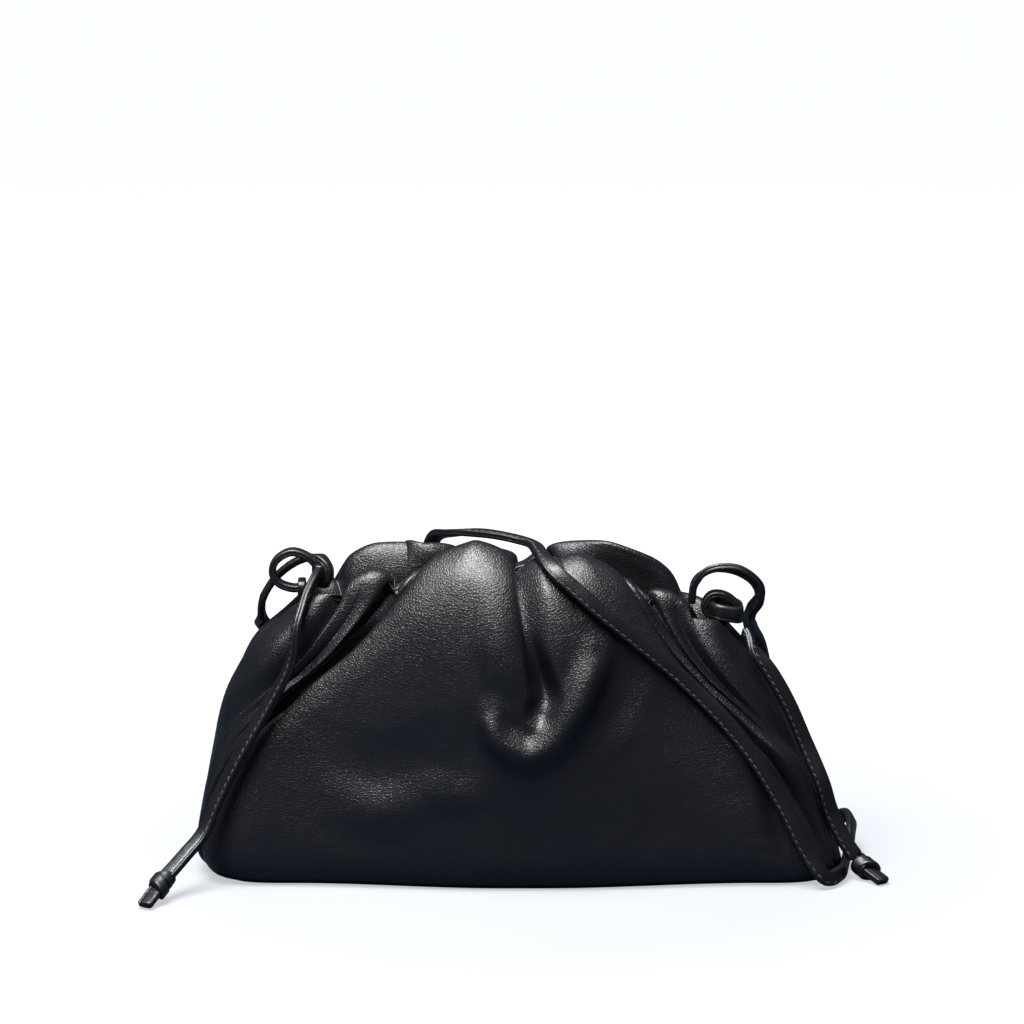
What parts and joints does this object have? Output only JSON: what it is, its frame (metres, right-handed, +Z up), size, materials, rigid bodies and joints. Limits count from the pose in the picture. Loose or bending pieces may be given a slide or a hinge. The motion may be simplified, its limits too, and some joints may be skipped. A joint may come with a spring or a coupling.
{
  "type": "gathered leather pouch bag",
  "caption": "Small soft leather pouch bag with a gathered mouth, a knotted lace shoulder strap laid across it, and tails that end in knots.",
  "frame": {"origin": "middle of the flat base, on the floor that the bag stands on", "axes": "+X to the right of someone who looks at the front, -Y towards that person, +Z up"},
  "size_m": [0.2524, 0.1491, 0.1168],
  "materials": {
    "body_leather": "satin",
    "strap_leather": "satin",
    "frame_metal": "satin"
  },
  "bodies": {
    "root": {"pouch_body": "body_leather", "mouth_frame": "frame_metal", "left_strap_tab": "strap_leather", "right_strap_tab": "strap_leather", "left_strap_knot": "strap_leather", "right_strap_knot": "strap_leather", "shoulder_strap": "strap_leather", "left_tail": "strap_leather", "left_tail_knot": "strap_leather", "right_tail": "strap_leather", "right_tail_knot": "strap_leather"}
  },
  "joints": []
}
